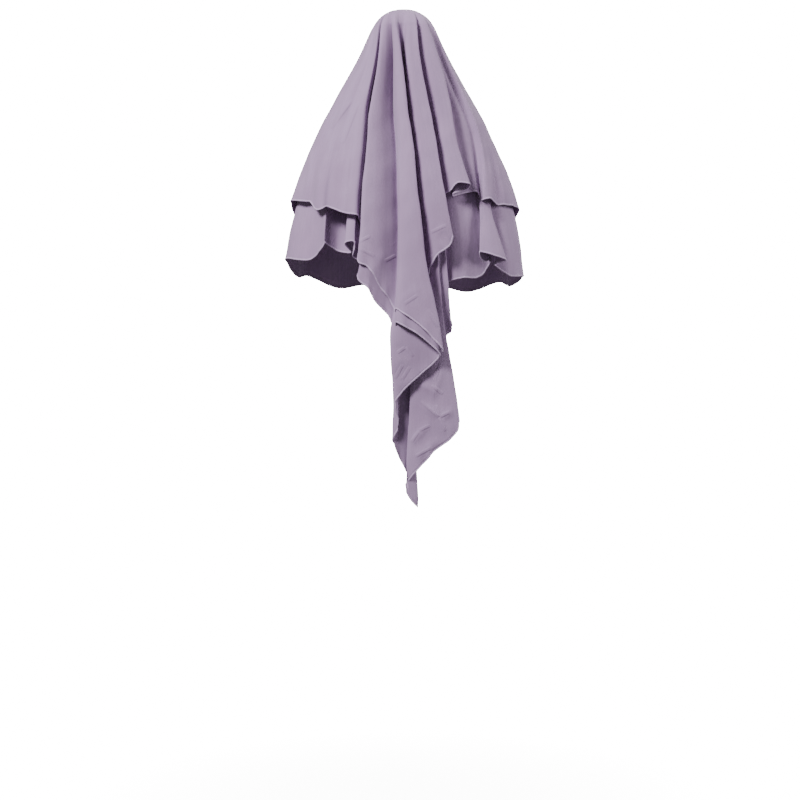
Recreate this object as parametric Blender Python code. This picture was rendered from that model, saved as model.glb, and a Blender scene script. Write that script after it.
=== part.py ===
# Two-tier chiffon headscarf, draped as it hangs when worn.
#
# Each tier is one thin wall of cloth that runs over the crown, opens round the face and
# hangs in folds to its hem. The cloth is lofted through fold lines: every ridge and
# valley is one line from the crown down to the hem, and a plan section is the smooth
# curve through all of them. The origin is where the top of the head touches the crown,
# +Z is up, the face looks along +Y and the long tails hang on the -Y side.

from collections import namedtuple
from math import pi

import bmesh
import bpy
import numpy as np

# Driving dimensions, in metres. A drop is a height below the crown.
CROWN_HALF_WIDTH = 0.0715
CROWN_BACK = 0.090
CROWN_FRONT = 0.092
SHOULDER_HALF_WIDTH = 0.185
HIP_HALF_WIDTH = 0.260
BACK_DEPTH = 0.160
FRONT_DEPTH = 0.165
FOLD_DEPTH = 0.020
BROW_DROP = 0.043
CHIN_DROP = 0.238
FACE_HALF_WIDTH = 0.064
HEAD_DROP = 0.100
SHOULDER_DROP = 0.260
ELBOW_DROP = 0.430
HIP_DROP = 0.580
UPPER_LENGTH = 0.748
LOWER_LENGTH = 1.077
UPPER_FRONT = 0.500
LOWER_FRONT = 0.600
CLOTH = 0.0010
TIER_GAP = 0.0016
CROWN_GAP = 0.0005
BINDING_WIDTH = 0.0060
BINDING_DEPTH = 0.0050
BINDING_CLEARANCE = 0.0012

# The least lean between a fold's face and its mitre that an offset follows
MITRE = 0.4

# The crown falls away with this power of the distance from its middle, turned over.
DOME_POWER = 0.30

# Mesh fineness
COLUMNS_PER_FOLD = 1
COLUMNS_PER_TURN = 2
CROWN_ROWS = 3
FACE_ROWS = 6
UPPER_ROWS = 6
LOWER_ROWS = 8
BINDING_SIDES = 6

CHIFFON = (0.395, 0.318, 0.428, 1.0)

# The size of the drape at each drop, as shares of the named sizes.
Section = namedtuple("Section", "drop half_width back front")
SECTIONS = (
    Section(BROW_DROP, CROWN_HALF_WIDTH, CROWN_BACK, CROWN_FRONT),
    Section(HEAD_DROP, 1.37 * CROWN_HALF_WIDTH, 1.13 * CROWN_BACK, 1.05 * CROWN_FRONT),
    Section(SHOULDER_DROP, SHOULDER_HALF_WIDTH, 0.75 * BACK_DEPTH, 0.68 * FRONT_DEPTH),
    Section(ELBOW_DROP, 0.94 * HIP_HALF_WIDTH, 0.92 * BACK_DEPTH, 0.92 * FRONT_DEPTH),
    Section(HIP_DROP, HIP_HALF_WIDTH, BACK_DEPTH, FRONT_DEPTH),
    Section(LOWER_LENGTH, HIP_HALF_WIDTH, BACK_DEPTH, FRONT_DEPTH),
)

# The folds of the back from the left side to the right. Across says how far each line
# lies from the middle, as a share of the half width there. Where a line lies further left
# than the one before it, the cloth doubles back on itself. Out is a share of the fold
# depth, outwards. Both tiers fold alike down to the shoulder and hang on their own below
# it. hem is where the tier's hem crosses the line, as a share of the tier's length.
Hang = namedtuple("Hang", "elbow hip out_elbow out_hip hem")
Fold = namedtuple("Fold", "name head shoulder out upper lower")
BACK_FOLDS = (
    Fold("left_side", -1.00, -1.00, 0.00,
         Hang(-1.00, -1.00, 0.30, 0.30, 0.557), Hang(-1.00, -1.00, -0.15, 0.25, 0.503)),
    Fold("left_dip", -0.95, -0.94, 0.00,
         Hang(-0.91, -0.90, -0.30, -0.30, 0.564), Hang(-0.93, -0.91, -0.65, -0.10, 0.509)),
    Fold("left_crease", -0.90, -0.89, -0.05,
         Hang(-0.85, -0.84, -0.05, 0.00, 0.569), Hang(-0.85, -0.82, -0.60, -0.35, 0.510)),
    Fold("left_blade", -0.84, -0.80, 0.05,
         Hang(-0.75, -0.74, 0.20, 0.20, 0.595), Hang(-0.74, -0.70, -0.10, 0.45, 0.495)),
    Fold("left_edge", -0.79, -0.74, 0.10,
         Hang(-0.69, -0.68, 0.35, 0.35, 0.598), Hang(-0.69, -0.65, -0.15, 0.35, 0.481)),
    Fold("left_notch", -0.76, -0.71, 0.05,
         Hang(-0.66, -0.65, 0.15, 0.15, 0.590), Hang(-0.66, -0.625, -0.70, -0.45, 0.485)),
    Fold("left_valley", -0.73, -0.67, -0.05,
         Hang(-0.60, -0.60, 0.05, 0.05, 0.597), Hang(-0.59, -0.56, -0.95, -0.85, 0.495)),
    Fold("flute_tuck", -0.70, -0.61, 0.00,
         Hang(-0.54, -0.54, 0.05, 0.05, 0.606), Hang(-0.485, -0.46, -0.95, -0.85, 0.499)),
    Fold("flute_left", -0.66, -0.56, 0.05,
         Hang(-0.49, -0.49, 0.10, 0.10, 0.612), Hang(-0.49, -0.485, -0.35, 0.05, 0.483)),
    Fold("flute_right", -0.635, -0.51, -0.10,
         Hang(-0.43, -0.43, 0.05, 0.05, 0.618), Hang(-0.415, -0.40, -0.30, 0.15, 0.481)),
    Fold("flute_back", -0.60, -0.455, -0.52,
         Hang(-0.385, -0.385, -0.62, -0.62, 0.630), Hang(-0.42, -0.425, -0.75, -0.50, 0.510)),
    Fold("spine_left_tuck", -0.56, -0.41, -0.60,
         Hang(-0.345, -0.345, -0.72, -0.72, 0.673), Hang(-0.31, -0.32, -1.05, -0.95, 0.520)),
    Fold("spine_left_edge", -0.53, -0.43, 0.30,
         Hang(-0.37, -0.38, 0.40, 0.40, 0.749), Hang(-0.36, -0.375, 0.30, 0.35, 0.551)),
    Fold("spine_left", -0.47, -0.34, 0.45,
         Hang(-0.27, -0.27, 0.70, 0.70, 0.767), Hang(-0.27, -0.27, 0.60, 0.60, 0.573)),
    Fold("spine_dip", -0.42, -0.27, 0.10,
         Hang(-0.22, -0.23, 0.30, 0.40, 0.810), Hang(-0.22, -0.25, 0.20, 0.30, 0.596)),
    Fold("spine_trough", -0.34, -0.17, -0.35,
         Hang(-0.11, -0.10, -0.20, 0.00, 0.857), Hang(-0.11, -0.10, -0.30, -0.10, 0.625)),
    Fold("spine_tuck", -0.27, -0.09, -0.20,
         Hang(-0.04, -0.04, 0.00, 0.20, 0.892), Hang(-0.04, -0.04, -0.10, 0.10, 0.650)),
    Fold("spine_step", -0.24, -0.065, 0.15,
         Hang(-0.015, -0.015, 0.45, 0.70, 0.886), Hang(-0.015, -0.015, 0.35, 0.60, 0.640)),
    Fold("spine_ridge", -0.19, -0.02, 0.45,
         Hang(0.05, 0.07, 0.80, 1.05, 0.930), Hang(0.05, 0.07, 0.70, 0.95, 0.665)),
    Fold("spine_edge", -0.13, 0.05, 0.45,
         Hang(0.11, 0.16, 0.80, 1.05, 1.000), Hang(0.10, 0.15, 0.70, 0.95, 0.705)),
    Fold("spine_turn", -0.11, 0.045, 0.05,
         Hang(0.105, 0.155, 0.35, 0.55, 0.985), Hang(0.09, 0.14, 0.25, 0.45, 0.708)),
    Fold("tail_left_tuck", -0.09, 0.03, -0.32,
         Hang(0.07, 0.12, -0.20, -0.20, 0.890), Hang(0.05, -0.01, -0.60, -0.20, 0.797)),
    Fold("tail_strip", -0.065, 0.05, -0.45,
         Hang(0.08, 0.135, -0.40, -0.40, 0.865), Hang(0.06, -0.01, -0.75, -0.45, 0.838)),
    Fold("tail_left_turn", -0.04, 0.07, -0.45,
         Hang(0.10, 0.155, -0.45, -0.42, 0.840), Hang(0.08, 0.01, -0.90, -0.70, 0.869)),
    Fold("tail_inner", -0.01, 0.09, -0.40,
         Hang(0.12, 0.17, -0.38, -0.30, 0.820), Hang(0.11, 0.08, -0.95, -0.95, 0.920)),
    Fold("tail_inner_turn", 0.03, 0.11, -0.28,
         Hang(0.14, 0.185, -0.22, -0.15, 0.800), Hang(0.135, 0.135, -0.90, -1.00, 0.950)),
    Fold("tail_tip", 0.07, 0.13, -0.15,
         Hang(0.16, 0.20, -0.03, 0.00, 0.785), Hang(0.155, 0.16, -0.75, -0.90, 1.000)),
    Fold("tail_front_edge", 0.11, 0.155, 0.00,
         Hang(0.18, 0.22, 0.15, 0.15, 0.762), Hang(0.18, 0.18, -0.50, -0.70, 0.961)),
    Fold("tail_front", 0.17, 0.20, 0.15,
         Hang(0.23, 0.27, 0.35, 0.35, 0.732), Hang(0.23, 0.23, -0.10, -0.35, 0.897)),
    Fold("tail_right_edge", 0.23, 0.25, 0.30,
         Hang(0.275, 0.33, 0.45, 0.50, 0.718), Hang(0.275, 0.29, 0.10, -0.10, 0.832)),
    Fold("strip_tuck", 0.28, 0.29, 0.35,
         Hang(0.315, 0.38, 0.55, 0.55, 0.704), Hang(0.30, 0.30, 0.10, -0.50, 0.685)),
    Fold("strip_edge", 0.32, 0.32, 0.35,
         Hang(0.345, 0.42, 0.55, 0.50, 0.682), Hang(0.325, 0.36, 0.05, -0.25, 0.651)),
    Fold("fold_tuck", 0.34, 0.315, -0.15,
         Hang(0.335, 0.37, -0.35, -0.45, 0.620), Hang(0.305, 0.33, -0.65, -0.85, 0.600)),
    Fold("blade_tuck", 0.38, 0.345, -0.50,
         Hang(0.365, 0.385, -0.60, -0.60, 0.564), Hang(0.35, 0.36, -1.05, -1.15, 0.563)),
    Fold("blade_left", 0.44, 0.39, 0.00,
         Hang(0.41, 0.42, 0.00, 0.00, 0.550), Hang(0.42, 0.42, -0.85, -0.70, 0.555)),
    Fold("blade_ridge", 0.53, 0.45, 0.35,
         Hang(0.48, 0.48, 0.60, 0.60, 0.527), Hang(0.48, 0.49, -0.85, -0.60, 0.551)),
    Fold("blade_edge", 0.61, 0.55, 0.35,
         Hang(0.57, 0.57, 0.75, 0.75, 0.530), Hang(0.53, 0.53, -0.90, -0.65, 0.550)),
    Fold("blade_turn", 0.64, 0.57, 0.05,
         Hang(0.565, 0.565, 0.30, 0.30, 0.547), Hang(0.56, 0.56, -0.95, -0.70, 0.550)),
    Fold("blade_back", 0.67, 0.59, -0.25,
         Hang(0.50, 0.50, 0.05, 0.05, 0.563), Hang(0.58, 0.58, -0.95, -0.80, 0.550)),
    Fold("right_dip", 0.71, 0.64, -0.40,
         Hang(0.60, 0.60, -0.45, -0.45, 0.547), Hang(0.62, 0.62, -0.95, -0.95, 0.548)),
    Fold("right_notch", 0.77, 0.72, -0.25,
         Hang(0.655, 0.655, -0.30, -0.30, 0.547), Hang(0.67, 0.71, -1.00, -0.95, 0.538)),
    Fold("bell_tuck", 0.82, 0.79, -0.20,
         Hang(0.705, 0.705, -0.45, -0.45, 0.564), Hang(0.71, 0.77, -0.95, -0.65, 0.512)),
    Fold("bell_inner", 0.845, 0.81, -0.10,
         Hang(0.70, 0.70, -0.10, -0.10, 0.569), Hang(0.70, 0.66, -0.85, -0.40, 0.518)),
    Fold("bell_left", 0.87, 0.83, 0.05,
         Hang(0.69, 0.69, 0.20, 0.20, 0.569), Hang(0.69, 0.60, -0.60, 0.10, 0.499)),
    Fold("bell_middle", 0.89, 0.86, 0.10,
         Hang(0.735, 0.735, 0.35, 0.35, 0.565), Hang(0.73, 0.71, -0.35, 0.50, 0.506)),
    Fold("bell_right", 0.92, 0.89, 0.05,
         Hang(0.78, 0.78, 0.25, 0.25, 0.572), Hang(0.77, 0.82, -0.35, 0.40, 0.513)),
    Fold("right_tuck", 0.945, 0.92, 0.00,
         Hang(0.82, 0.82, -0.10, -0.10, 0.580), Hang(0.79, 0.79, -0.60, -0.40, 0.522)),
    Fold("right_fall", 0.97, 0.96, 0.00,
         Hang(0.89, 0.89, 0.05, 0.05, 0.575), Hang(0.88, 0.88, -0.40, 0.00, 0.542)),
    Fold("right_side", 1.00, 1.00, 0.00,
         Hang(1.00, 1.00, 0.40, 0.40, 0.580), Hang(1.00, 1.00, -0.10, 0.30, 0.538)),
)

# Where the folds of the tails lie further down: across and out at three more drops,
# which are shares of the lower tier's length. The spine is the tail that both tiers
# share; the other folds are the lower tier's own.
TAIL_DROPS = (0.66, 0.81, 0.99)
TailFold = namedtuple("TailFold", "name middle low end out_middle out_tail")
SPINE_TAIL = (
    TailFold("spine_left_edge", -0.50, -0.50, -0.50, 0.60, 0.60),
    TailFold("spine_left", -0.26, -0.26, -0.26, 0.90, 0.90),
    TailFold("spine_dip", -0.25, -0.25, -0.25, 0.70, 0.70),
    TailFold("spine_trough", -0.13, -0.13, -0.13, 0.75, 0.75),
    TailFold("spine_tuck", -0.09, -0.09, -0.09, 0.85, 0.85),
    TailFold("spine_step", -0.065, -0.065, -0.065, 1.10, 1.10),
    TailFold("spine_ridge", 0.12, 0.12, 0.12, 1.45, 1.45),
    TailFold("spine_edge", 0.27, 0.30, 0.30, 1.45, 1.45),
    TailFold("spine_turn", 0.26, 0.29, 0.29, 0.95, 0.95),
)
LOWER_TAIL = (
    TailFold("tail_left_tuck", -0.09, -0.06, -0.06, 0.30, 0.30),
    TailFold("tail_strip", -0.10, -0.04, -0.04, 0.00, 0.10),
    TailFold("tail_left_turn", -0.09, -0.08, -0.08, -0.25, -0.20),
    TailFold("tail_inner", 0.00, 0.00, 0.00, -0.75, -0.75),
    TailFold("tail_inner_turn", 0.12, 0.10, 0.06, -1.00, -1.00),
    TailFold("tail_tip", 0.10, 0.08, 0.12, -0.80, -0.70),
    TailFold("tail_front_edge", 0.07, 0.04, 0.01, -0.50, -0.30),
    TailFold("tail_front", 0.22, 0.22, 0.22, 0.00, 0.15),
    TailFold("tail_right_edge", 0.34, 0.44, 0.44, 0.00, 0.10),
    TailFold("strip_tuck", 0.32, 0.38, 0.38, -0.60, -0.60),
    TailFold("strip_edge", 0.40, 0.42, 0.42, -0.45, -0.50),
    TailFold("fold_tuck", 0.37, 0.39, 0.39, -1.05, -1.10),
    TailFold("blade_tuck", 0.40, 0.41, 0.41, -1.30, -1.30),
)

# In the tail they share the lower tier lies this much further in and further left.
SPINE_SLACK = 0.10
SPINE_SHIFT = 0.01

# The plain front: ridges and valleys in turn, from each side round to the centre.
FRONT_FOLDS = 5
FRONT_OUT = 0.45
FRONT_SWAY = 0.008

# How much of the folds shows at the crown and at the level of the head.
CROWN_RISE = 0.0
HEAD_RISE = 0.5

Tier = namedtuple("Tier", "name kind length front side rows tail")
UPPER = Tier("upper_tier", "upper", UPPER_LENGTH, UPPER_FRONT, 1, UPPER_ROWS, SPINE_TAIL)
LOWER = Tier(
    "lower_tier", "lower", LOWER_LENGTH, LOWER_FRONT, -1, LOWER_ROWS, SPINE_TAIL + LOWER_TAIL
)


def slopes(knots, values, from_above=()):
    """The slope at each knot of a smooth curve through the values (last axis). At the
    knots named from_above it is the slope of the stretch before them."""
    steps = np.diff(values, axis=-1) / np.diff(knots)
    inner = (steps[..., 1:] + steps[..., :-1]) / 2
    tilt = np.concatenate([steps[..., :1], inner, steps[..., -1:]], axis=-1)
    for knot in from_above:
        tilt[..., knot] = steps[..., knot - 1]
    return tilt


def hermite(share, width, start, end, start_slope, end_slope):
    """The cubic between two knots, at a share from 0 to 1 of the way."""
    square, cube = share**2, share**3
    return (
        (2 * cube - 3 * square + 1) * start
        + (cube - 2 * square + share) * width * start_slope
        + (3 * square - 2 * cube) * end
        + (cube - square) * width * end_slope
    )


def through(knots, table, rows, at, from_above=()):
    """Each grid point's value, from the row of the table that its column reads."""
    knots = np.asarray(knots, float)
    at = np.clip(at, knots[0], knots[-1])
    spot = np.clip(np.searchsorted(knots, at, side="right") - 1, 0, len(knots) - 2)
    width = knots[spot + 1] - knots[spot]
    share = (at - knots[spot]) / width
    tilt = slopes(knots, table, from_above)
    rows = np.broadcast_to(rows, at.shape)
    return hermite(
        share,
        width,
        table[rows, spot],
        table[rows, spot + 1],
        tilt[rows, spot],
        tilt[rows, spot + 1],
    )


def girth(drop, column):
    """Half width, back or front of the drape: a flat dome, then through the sections."""
    knots = [section.drop for section in SECTIONS]
    values = np.array([[getattr(section, column) for section in SECTIONS]])
    dome = values[0, 0] * np.clip(drop / BROW_DROP, 0, 1) ** DOME_POWER
    below = through(knots, values, 0, drop)
    return np.where(drop < BROW_DROP, dome, below)


def face_half_width(drop):
    """The face opening is an ellipse from the brow to the chin."""
    middle, half = (BROW_DROP + CHIN_DROP) / 2, (CHIN_DROP - BROW_DROP) / 2
    share = np.clip((drop - middle) / half, -1, 1)
    return FACE_HALF_WIDTH * np.sqrt(np.clip(1 - share**2, 0, 1))


def front_lines(tier, hand):
    """The lines from one side round to the front centre, as (turn, out, hem)."""
    side = BACK_FOLDS[0] if hand < 0 else BACK_FOLDS[-1]
    side_hem = getattr(side, tier.kind).hem
    front_hem = tier.front / tier.length
    lines = []
    for n in range(1, FRONT_FOLDS + 1):
        share = n / FRONT_FOLDS
        ridge = 1 if n % 2 == 0 else -1
        hem = side_hem + (front_hem - side_hem) * share**0.5 - ridge * FRONT_SWAY
        lines.append((hand * 90 * (1 + share), ridge * FRONT_OUT, hem))
    return lines


def fold_lines(tier):
    """Every line round the tier, from the front centre by the left side and the back."""
    tail = {fold.name: fold for fold in tier.tail}
    knots = [0, HEAD_DROP, SHOULDER_DROP, ELBOW_DROP, HIP_DROP]
    knots += [share * LOWER_LENGTH for share in TAIL_DROPS]
    plain = [CROWN_RISE, HEAD_RISE / 2, 0.5] + [1] * (len(knots) - 3)
    turns, outs, hems = [], [], []
    for turn, out, hem in reversed(front_lines(tier, -1)):
        turns.append([turn] * len(knots))
        outs.append([rise * out for rise in plain])
        hems.append(hem)
    for n, fold in enumerate(BACK_FOLDS):
        hang = getattr(fold, tier.kind)
        more = tail.get(fold.name)
        crown = np.sin(pi * (n / (len(BACK_FOLDS) - 1) - 0.5))
        across = [crown, fold.head, fold.shoulder, hang.elbow, hang.hip]
        below = (more.middle, more.low, more.end) if more else [hang.hip] * 3
        out = [CROWN_RISE * fold.out, HEAD_RISE * fold.out, fold.out]
        out += [hang.out_elbow, hang.out_hip]
        under = tier is LOWER and more in SPINE_TAIL
        across += [share - SPINE_SHIFT * under for share in below]
        low = (more.out_middle, more.out_tail, more.out_tail) if more else [hang.out_hip] * 3
        out += [share - SPINE_SLACK * under for share in low]
        turns.append(np.degrees(np.arcsin(across)))
        outs.append(out)
        hems.append(hang.hem)
    for turn, out, hem in front_lines(tier, 1):
        turns.append([turn] * len(knots))
        outs.append([rise * out for rise in plain])
        hems.append(hem)
    return knots, np.array(turns), np.array(outs) * FOLD_DEPTH, np.array(hems) * tier.length


def line_point(knots, turns, outs, line, drop):
    """Where the numbered lines pass a drop, in plan."""
    line = np.clip(line, 0, len(turns) - 1)
    shoulder = (knots.index(SHOULDER_DROP),)
    turn = through(knots, turns, line, drop, shoulder)
    out = through(knots, outs, line, drop, shoulder)
    half, back, front = [girth(drop, side) for side in ("half_width", "back", "front")]
    edge = np.arcsin(np.clip(face_half_width(drop) / np.maximum(half, 0.03), 0, 1))
    past = np.clip(np.abs(turn) - 90, 0, 90) * (90 - np.degrees(edge)) / 90
    turn = np.radians(np.where(np.abs(turn) > 90, np.sign(turn) * (90 + past), turn))
    deep = np.where(np.abs(turn) > pi / 2, front, back)
    across, along = np.sin(turn), -np.cos(turn)
    normal_x, normal_y = across * deep, along * half
    size = np.maximum(np.hypot(normal_x, normal_y), 1e-9)
    return np.stack(
        [half * across + out * normal_x / size, deep * along + out * normal_y / size], -1
    )


def span(p0, p1, p2, p3, share):
    """The point on a centripetal curve through four points, between the middle two."""
    def chord(a, b):
        return np.maximum(np.linalg.norm(b - a, axis=-1, keepdims=True), 1e-5) ** 0.5

    t0 = 0.0
    t1 = t0 + chord(p0, p1)
    t2 = t1 + chord(p1, p2)
    t3 = t2 + chord(p2, p3)
    t = t1 + share[..., None] * (t2 - t1)
    a1 = (t1 - t) / (t1 - t0) * p0 + (t - t0) / (t1 - t0) * p1
    a2 = (t2 - t) / (t2 - t1) * p1 + (t - t1) / (t2 - t1) * p2
    a3 = (t3 - t) / (t3 - t2) * p2 + (t - t2) / (t3 - t2) * p3
    b1 = (t2 - t) / (t2 - t0) * a1 + (t - t0) / (t2 - t0) * a2
    b2 = (t3 - t) / (t3 - t1) * a2 + (t - t1) / (t3 - t1) * a3
    return (t2 - t) / (t2 - t1) * b1 + (t - t1) / (t2 - t1) * b2


def column_places():
    """The places of the columns, counted in lines: closer where a tier doubles back."""
    turns = np.concatenate([fold_lines(tier)[1] for tier in (UPPER, LOWER)], axis=1)
    ahead = np.diff(turns, axis=0).min(axis=1) > 0
    ahead = np.concatenate([[True], ahead, [True]])
    places = []
    for line in range(len(turns) - 1):
        steps = COLUMNS_PER_FOLD if ahead[line : line + 3].all() else COLUMNS_PER_TURN
        places += [line + n / steps for n in range(steps)]
    return np.array(places + [len(turns) - 1.0])


def row_drops(hems, rows):
    """The drop of each row in each column: even over the head, then down to the hem."""
    crown = BROW_DROP * np.linspace(0, 1, CROWN_ROWS + 1) ** (1 / DOME_POWER)
    swing = np.linspace(0, pi, FACE_ROWS + 1)[1:]
    face = (BROW_DROP + CHIN_DROP) / 2 - (CHIN_DROP - BROW_DROP) / 2 * np.cos(swing)
    head = np.concatenate([crown, face])
    share = np.linspace(0, 1, rows + 1)[1:]
    skirt = CHIN_DROP + (hems[:, None] - CHIN_DROP) * share
    return np.concatenate([np.broadcast_to(head, (len(hems), len(head))), skirt], axis=1)


def drape(tier):
    """The middle surface between the two tiers, down to this tier's hem."""
    knots, turns, outs, hems = fold_lines(tier)
    places = column_places()
    line = np.clip(places.astype(int), 0, len(turns) - 2)
    share = places - line
    tilt = slopes(np.arange(len(hems)), hems)
    hem = hermite(share, 1, hems[line], hems[line + 1], tilt[line], tilt[line + 1])
    drop = row_drops(hem, tier.rows)
    first, last = np.zeros_like(line), np.full_like(line, len(turns) - 1)
    ends = [
        line_point(knots, turns, outs, np.clip(line + n, first, last)[:, None], drop)
        for n in (-1, 0, 1, 2)
    ]
    plan = span(*ends, np.broadcast_to(share[:, None], drop.shape))
    height = CROWN_GAP / 2 + CLOTH - drop
    return np.concatenate([plan, height[..., None]], axis=-1)


def closed_rows(points):
    """Which rows run all the way round: the others end at the face opening."""
    return np.linalg.norm(points[0] - points[-1], axis=-1) < 1e-6


def unit(vectors):
    return vectors / np.maximum(np.linalg.norm(vectors, axis=-1, keepdims=True), 1e-12)


def outward(points):
    """The way out from each grid point, longer at a sharp fold so that walls stay even."""
    down_it = np.gradient(points, axis=1)
    down_it = (down_it[1:] + down_it[:-1]) / 2
    faces = unit(np.cross(down_it, np.diff(points, axis=0)))
    faces[:, 0] = (0, 0, 1)
    closed = closed_rows(points)[:, None]
    before = np.concatenate([np.where(closed, faces[-1], faces[0])[None], faces])
    after = np.concatenate([faces, np.where(closed, faces[0], faces[-1])[None]])
    normal = unit(before + after)
    lean = (normal * after).sum(axis=-1, keepdims=True)
    return normal / np.maximum(lean, MITRE)


def tier_faces(tier):
    """The two faces of a tier's wall. The tiers part from the crown to the shoulder."""
    middle = drape(tier)
    part = np.clip(-middle[..., 2:] / SHOULDER_DROP, 0, 1)
    near = (CROWN_GAP + (TIER_GAP - CROWN_GAP) * part) / 2
    out = outward(middle) * tier.side
    return middle + out * near, middle + out * (near + CLOTH)


def shorter_cut(points):
    """Where the second diagonal of a grid's square is the shorter one."""
    first = np.linalg.norm(points[1:, 1:] - points[:-1, :-1], axis=-1)
    second = np.linalg.norm(points[1:, :-1] - points[:-1, 1:], axis=-1)
    return second < first


def grid_faces(number, second):
    """Two triangles for each square in a grid of point numbers, cut from its first corner,
    or from its second corner where that is asked for."""
    a, b, c, d = number[:-1, :-1], number[:-1, 1:], number[1:, 1:], number[1:, :-1]
    one = np.where(second[..., None], np.stack([a, b, d], -1), np.stack([a, b, c], -1))
    two = np.where(second[..., None], np.stack([b, c, d], -1), np.stack([a, c, d], -1))
    return np.concatenate([one.reshape(-1, 3), two.reshape(-1, 3)]).tolist()


def solid_mesh(name, points, faces):
    """A mesh with its doubled points merged and its faces turned out."""
    mesh = bpy.data.meshes.new(name)
    mesh.from_pydata(points.tolist(), [], faces)
    work = bmesh.new()
    work.from_mesh(mesh)
    bmesh.ops.remove_doubles(work, verts=work.verts, dist=1e-6)
    bmesh.ops.recalc_face_normals(work, faces=work.faces)
    work.to_mesh(mesh)
    work.free()
    mesh.shade_smooth()
    return mesh


def cloth_material():
    material = bpy.data.materials.new("lilac_chiffon")
    material.use_nodes = True
    surface = material.node_tree.nodes["Principled BSDF"]
    surface.inputs["Base Color"].default_value = CHIFFON
    surface.inputs["Roughness"].default_value = 0.85
    surface.inputs["Metallic"].default_value = 0.0
    return material


def place(name, mesh, material):
    thing = bpy.data.objects.new(name, mesh)
    thing.data.materials.append(material)
    bpy.context.scene.collection.objects.link(thing)
    return thing


def add_tier(tier, material):
    """One tier: two faces joined along the hem and along the edge of the face opening."""
    near, far = tier_faces(tier)
    points = np.concatenate([near, far[:, ::-1]], axis=1)
    columns, rows = points.shape[:2]
    number = np.arange(columns * rows).reshape(columns, rows)
    # Both walls are cut along the same lines, so that they stay even.
    cut = shorter_cut(drape(tier))
    cut = np.concatenate([cut, cut[:, :1], ~cut[:, ::-1]], axis=1)
    faces = grid_faces(number, cut)
    closed = closed_rows(near)
    for row in np.flatnonzero(~(closed[1:] & closed[:-1])):
        for edge in (number[0], number[-1]):
            faces.append([edge[row], edge[row + 1], edge[-2 - row], edge[-1 - row]])
    mesh = solid_mesh(tier.name, points.reshape(-1, 3), faces)
    place(tier.name, mesh, material)


def add_face_binding(material):
    """The narrow band round the face opening, just inside both tiers' edges."""
    middle = drape(LOWER)
    rows = slice(CROWN_ROWS, CROWN_ROWS + FACE_ROWS + 1)
    path = np.concatenate([middle[0, rows], middle[-1, rows][-2:0:-1]])
    along = np.roll(path, -1, axis=0) - np.roll(path, 1, axis=0)
    along /= np.linalg.norm(along, axis=1, keepdims=True)
    inward = path.mean(axis=0) - path
    inward -= (inward * along).sum(axis=1, keepdims=True) * along
    inward /= np.linalg.norm(inward, axis=1, keepdims=True)
    across = np.cross(along, inward)
    path = path + inward * (BINDING_CLEARANCE + BINDING_WIDTH / 2)
    corner = (np.arange(BINDING_SIDES) + 0.5) * 2 * pi / BINDING_SIDES
    ring = (
        path[:, None]
        + inward[:, None] * np.cos(corner)[:, None] * BINDING_WIDTH / 2
        + across[:, None] * np.sin(corner)[:, None] * BINDING_DEPTH / 2
    )
    ring = np.concatenate([ring, ring[:1]])
    ring = np.concatenate([ring, ring[:, :1]], axis=1)
    number = np.arange(ring[..., 0].size).reshape(ring.shape[:2])
    faces = grid_faces(number, shorter_cut(ring))
    mesh = solid_mesh("face_binding", ring.reshape(-1, 3), faces)
    place("face_binding", mesh, material)


def main():
    for thing in list(bpy.data.objects):
        bpy.data.objects.remove(thing)
    chiffon = cloth_material()
    add_tier(UPPER, chiffon)
    add_tier(LOWER, chiffon)
    add_face_binding(chiffon)


main()
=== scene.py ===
# Two-tier chiffon headscarf: the looks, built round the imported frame.
#
# Each tier is one thin shell of cloth. It is lofted through the fold lines that the solids
# have, with many more columns and rows, and then gets its creases, ripples and rolled hem.
# The origin is the underside of the crown, +Z is up and the tails hang on the -Y side.

import math

import bmesh
import bpy
import numpy as np
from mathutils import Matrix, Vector


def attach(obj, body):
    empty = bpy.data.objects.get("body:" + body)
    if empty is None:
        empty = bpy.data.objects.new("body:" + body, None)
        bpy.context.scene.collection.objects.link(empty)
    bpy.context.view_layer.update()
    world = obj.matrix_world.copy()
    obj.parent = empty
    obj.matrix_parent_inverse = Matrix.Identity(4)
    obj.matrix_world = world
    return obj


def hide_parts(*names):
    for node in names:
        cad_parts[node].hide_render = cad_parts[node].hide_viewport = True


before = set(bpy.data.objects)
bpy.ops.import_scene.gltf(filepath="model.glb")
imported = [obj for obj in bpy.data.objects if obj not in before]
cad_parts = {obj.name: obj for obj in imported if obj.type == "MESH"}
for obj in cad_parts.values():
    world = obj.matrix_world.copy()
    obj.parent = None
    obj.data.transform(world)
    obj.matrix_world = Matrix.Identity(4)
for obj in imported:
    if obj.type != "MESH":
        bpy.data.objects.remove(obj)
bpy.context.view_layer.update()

print("scene: frame loaded,", len(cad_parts), "nodes")

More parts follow.
